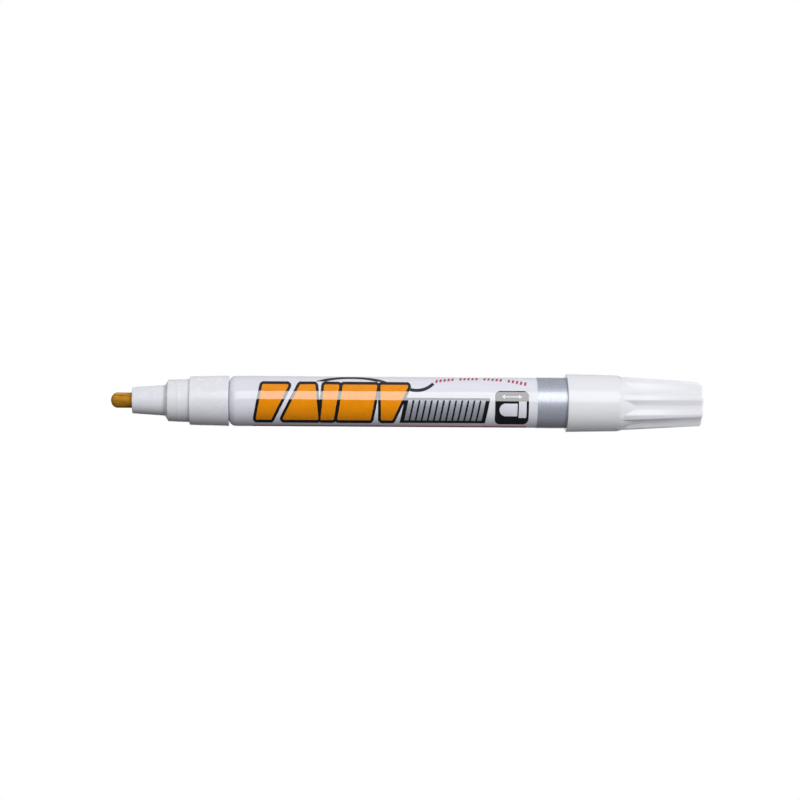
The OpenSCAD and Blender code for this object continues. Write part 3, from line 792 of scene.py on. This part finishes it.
def make_cap():
    end_wall = 1.5
    side_wall = 0.8
    end_edge = 0.6
    lip = 0.2
    skin_depth = 0.65
    tiny = 0.01
    steps_per_ridge = 44
    step_angle = 2 * atan2(cap_step, cap_step_len)
    step_r = cap_step_len / sin(step_angle)
    socket_r = band_rear_r + 0.06
    socket_end_z = ridge_top_z - 1.9
    hollow_top_z = socket_end_z - 2.2

    def hollow_r(height):
        return crest_r(height) - groove_depth - side_wall

    outer = [(0, 0, 0), (crest_end_r, 0, end_edge)]
    outer += arc(cap_collar_end_r - step_r, cap_collar_end_z, step_r, -degrees(step_angle), 0)
    outer += [(cap_mouth_r, cap_len, lip)]
    inner = [
        (cap_bore_r + lip, cap_len, 0.05),
        (cap_bore_r, cap_len - lip, 0),
        (cap_bore_r, barrel_z, 0),
        (socket_r, barrel_z, 0),
        (socket_r, socket_end_z, 0),
        (hollow_r(hollow_top_z), hollow_top_z, 0),
        (hollow_r(end_wall), end_wall, 0),
        (0, end_wall, 0)]
    bm = spun(outer + inner, segments=ridges * steps_per_ridge, closed=False, rows=110)
    pitch = 2 * pi / ridges
    for vert in bm.verts:
        height = vert.co.z / mm
        radius = hypot(vert.co.x, vert.co.y) / mm
        crest = crest_r(height)
        on_skin = radius > crest - skin_depth or height < tiny
        if height > groove_top_z or radius < tiny or not on_skin:
            continue
        turn = (atan2(vert.co.y, vert.co.x) - first_ridge) % pitch - pitch / 2
        skin = max(radius, crest) if height > ridge_top_z else crest
        cut = eased_min(skin, groove_radius(turn, height), soft_edge)
        share = min(cut, skin) / skin
        vert.co.x *= share
        vert.co.y *= share
    cap = as_piece(bm, "ridged_cap", sharp=radians(40))
    dress(cap, "cap", "white_plastic", white_plastic, "cap")


# Print


def make_print(node, slot, material):
    """A copy of an ink layer, cut finely round the axis and drawn out to true cylinders."""
    step = radians(2)
    first_cut = radians(0.37)
    cut_reach = 0.0002 * mm
    outward_enough = 0.9
    bm = bmesh.new()
    bm.from_mesh(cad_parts[node].data)
    bmesh.ops.remove_doubles(bm, verts=bm.verts[:], dist=weld_reach)
    for i in range(int(pi / step)):
        turn = i * step + first_cut
        bmesh.ops.bisect_plane(bm, geom=bm.verts[:] + bm.edges[:] + bm.faces[:], dist=cut_reach,
                               plane_co=(0, 0, 0), plane_no=(cos(turn), sin(turn), 0))
    middle = (barrel_r + ink_r) / 2
    for vert in bm.verts:
        radius = hypot(vert.co.x, vert.co.y) / mm
        true_r = ink_r if radius > middle else barrel_r
        vert.co.x *= true_r / radius
        vert.co.y *= true_r / radius
    piece = as_piece(bm, node.replace("print_", "ink_"), sharp=radians(20))
    mesh = piece.data
    normals = []
    for face in mesh.polygons:
        for index in face.vertices:
            spot = mesh.vertices[index].co
            outwards = Vector((spot.x, spot.y, 0)).normalized()
            on_top = face.normal.dot(outwards) > outward_enough
            normals.append(outwards if on_top else face.normal)
    mesh.normals_split_custom_set(normals)
    dress(piece, "barrel", slot, material, node)


def make_prints():
    orange = gloss_ink("orange_ink", (0.84, 0.275, 0.002), mottle=0.05)
    black = gloss_ink("black_ink", (0.008, 0.008, 0.011), ior=1.66)
    slate = gloss_ink("slate_ink", (0.025, 0.03, 0.042))
    silver = metallic_ink("silver_ink", (0.48, 0.5, 0.57), metallic=0.45, contrast=0.12, coat=0.6)
    red = gloss_ink("red_ink", (0.47, 0.08, 0.12))
    grey = metallic_ink("grey_ink", (0.47, 0.495, 0.58), metallic=0.44, contrast=0.16, coat=0.55)
    make_print("print_orange", "orange_ink", orange)
    make_print("print_black", "black_ink", black)
    make_print("print_swoosh", "slate_ink", slate)
    make_print("print_silver", "silver_ink", silver)
    make_print("print_red", "red_ink", red)
    make_print("print_band", "grey_ink", grey)


# Inner parts


def make_spring():
    """The frame's spring, which the stem squeezes against the cage as the nib goes in."""
    bm = bmesh.new()
    bm.from_mesh(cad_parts["valve_spring"].data)
    bmesh.ops.remove_doubles(bm, verts=bm.verts[:], dist=weld_reach)
    spring = as_piece(bm, "closing_spring", sharp=radians(50))
    dress(spring, "barrel", "spring_steel", wire_steel, "valve_spring")
    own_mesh(spring)


def finish_inner_parts():
    """Finishes for the other pieces inside, whose shapes are those of the frame."""
    finishes = {
        "inner_cap": soft_plastic,
        "neck_gasket": soft_plastic,
        "valve_cage": soft_plastic,
        "valve_stem": soft_plastic,
        "valve_washer": rubber,
        "mixing_ball": ball_steel,
    }
    for node, material in finishes.items():
        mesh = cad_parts[node].data
        mesh.materials.clear()
        mesh.materials.append(material)


wear = make_wear()
skin = make_skin()
ink_body = make_ink_body()
flake = make_flake()
white_lacquer = gloss_white(
    "white_lacquer", (0.72, 0.725, 0.795),
    specular=0.41, roughness=0.045, ripple=0.1, marks=0.06)
white_plastic = gloss_white(
    "white_plastic", (0.74, 0.745, 0.78),
    specular=0.33, roughness=0.05, ripple=0.13, marks=0.08, tint_depth=0.03,
    dull_and_lit_below=(cap_collar_end_z - 1) * mm)
satin_plastic = satin_white()
soft_plastic = moulded("soft_plastic", (0.75, 0.75, 0.72), specular=0.4, roughness=0.5, grain=0.2)
rubber = moulded("black_rubber", (0.02, 0.02, 0.021), specular=0.4, roughness=0.6, grain=0.4)
wire_steel = bare_steel("spring_steel", (0.6, 0.6, 0.62), roughness=0.25, drawn=even)
ball_steel = bare_steel("ball_steel", (0.66, 0.66, 0.68), roughness=0.12, drawn=(1, 1, 0.2))
fibre = stained_fibre()

make_camera()
make_lamps()
make_world()
make_floor()
make_barrel()
make_valve_collar()
make_nose()
make_nib()
make_cap()
make_prints()
make_spring()
finish_inner_parts()
